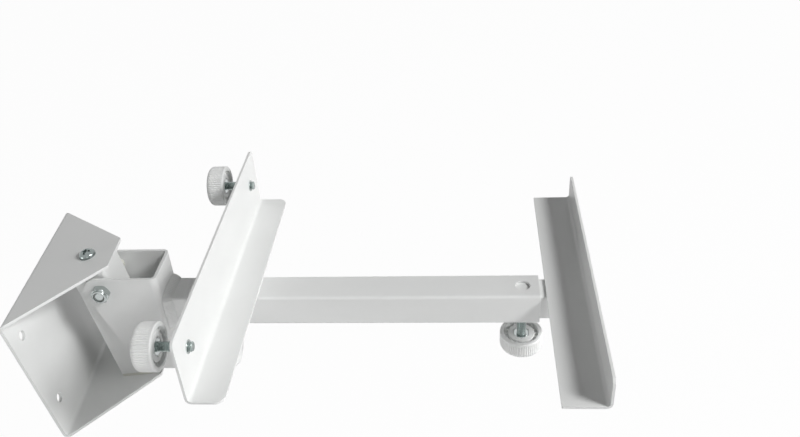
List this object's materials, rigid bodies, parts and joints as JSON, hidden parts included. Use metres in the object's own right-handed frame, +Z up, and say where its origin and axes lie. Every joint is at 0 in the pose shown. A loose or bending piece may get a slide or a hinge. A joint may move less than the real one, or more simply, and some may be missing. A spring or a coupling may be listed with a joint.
{
  "type": "speaker wall bracket",
  "caption": "Wall bracket that clamps a speaker between two folded plates on a telescopic square arm, with swivel, screw-set tilt and knurled thumb screws.",
  "frame": {"origin": "centre of the four wall screw holes on the back face of the wall plate", "axes": "+X out of the wall towards the room, +Z up, +Y to the right for someone facing the wall"},
  "size_m": [0.4805, 0.2945, 0.164],
  "materials": {
    "white_sheet": "off-white powder coat, fine texture, satin",
    "white_tube": "off-white powder coat on square tube, satin",
    "zinc": "bright zinc plate",
    "dark_thread": "zinc-plated rolled thread, darker than the heads",
    "white_knob": "white moulded plastic, fine straight knurl, half-matt",
    "nylon": "natural nylon, slightly translucent beige"
  },
  "bodies": {
    "wall": {"wall_bracket": "white_sheet", "upper_swivel_screw": "zinc", "lower_swivel_screw": "zinc", "upper_swivel_washer": "zinc", "lower_swivel_washer": "zinc", "upper_swivel_nut": "zinc", "lower_swivel_nut": "zinc"},
    "swivel": {"swivel_bracket": "white_sheet", "upper_swivel_pad": "nylon", "lower_swivel_pad": "nylon", "near_tilt_spacer": "nylon", "far_tilt_spacer": "nylon"},
    "arm": {"tilt_channel": "white_sheet", "tilt_bolt": "zinc", "tilt_bolt_washer": "zinc", "tilt_lock_nut": "zinc", "outer_tube": "white_tube", "rear_clamp_plate": "white_sheet", "near_press_nut": "zinc", "far_press_nut": "zinc", "tilt_weld_nut": "zinc"},
    "extension": {"inner_tube": "white_tube", "front_clamp_plate": "white_sheet"},
    "near_clamp_rod": {"near_clamp_screw": "dark_thread"},
    "near_clamp_grip": {"near_clamp_knob": "white_knob"},
    "far_clamp_rod": {"far_clamp_screw": "dark_thread"},
    "far_clamp_grip": {"far_clamp_knob": "white_knob"},
    "lock_rod": {"lock_screw": "dark_thread"},
    "lock_grip": {"lock_knob": "white_knob"},
    "tilt_rod": {"tilt_screw": "dark_thread"},
    "tilt_grip": {"tilt_knob": "white_knob"}
  },
  "joints": [
    {"name": "swivel", "type": "hinge", "parent": "wall", "child": "swivel", "pos_m": [0.05, 0, 0], "axis": [0, 0, 1], "range_deg": [-40.7, 49.3]},
    {"name": "tilt", "type": "hinge", "parent": "swivel", "child": "arm", "pos_m": [0.06097, -0.00082, 0.0375], "axis": [0.075, 0.9972, 0], "range_deg": [-17.8, 6.2]},
    {"name": "extension", "type": "slide", "parent": "arm", "child": "extension", "axis": [0.988, -0.0743, -0.1357], "range_m": [-0.0045, 0.235]},
    {"name": "near_clamp_travel", "type": "slide", "parent": "arm", "child": "near_clamp_rod", "axis": [0.988, -0.0743, -0.1357], "range_m": [-0.01, 0.0135]},
    {"name": "near_clamp_turn", "type": "hinge", "parent": "near_clamp_rod", "child": "near_clamp_grip", "pos_m": [0.1588, -0.11949, 0.04462], "axis": [0.988, -0.0743, -0.1357], "range_deg": [-2882, 3890]},
    {"name": "far_clamp_travel", "type": "slide", "parent": "arm", "child": "far_clamp_rod", "axis": [0.988, -0.0743, -0.1357], "range_m": [-0.01, 0.0135]},
    {"name": "far_clamp_turn", "type": "hinge", "parent": "far_clamp_rod", "child": "far_clamp_grip", "pos_m": [0.17544, 0.10188, 0.04462], "axis": [0.988, -0.0743, -0.1357], "range_deg": [-2882, 3890]},
    {"name": "lock_travel", "type": "slide", "parent": "arm", "child": "lock_rod", "axis": [0.1353, -0.0102, 0.9907], "range_m": [-0.012, 0]},
    {"name": "lock_turn", "type": "hinge", "parent": "lock_rod", "child": "lock_grip", "pos_m": [0.40884, -0.02698, -0.05369], "axis": [0.1353, -0.0102, 0.9907], "range_deg": [-3458, 2]},
    {"name": "tilt_screw_travel", "type": "slide", "parent": "arm", "child": "tilt_rod", "axis": [-0.988, 0.0743, 0.1357], "range_m": [-0.0092, 0.0262]},
    {"name": "tilt_screw_turn", "type": "hinge", "parent": "tilt_rod", "child": "tilt_grip", "pos_m": [0.09878, -0.00367, -0.05046], "axis": [-0.988, 0.0743, 0.1357], "range_deg": [-2612, 7495]}
  ],
  "couplings": [
    {"joint": "near_clamp_turn", "follows": "near_clamp_travel", "rad_per_m": 5026.5},
    {"joint": "far_clamp_turn", "follows": "far_clamp_travel", "rad_per_m": 5026.5},
    {"joint": "lock_turn", "follows": "lock_travel", "rad_per_m": 5026.5},
    {"joint": "tilt_screw_travel", "follows": "tilt", "m_per_rad": -0.083743},
    {"joint": "tilt_screw_turn", "follows": "tilt", "ratio": -420.94}
  ]
}
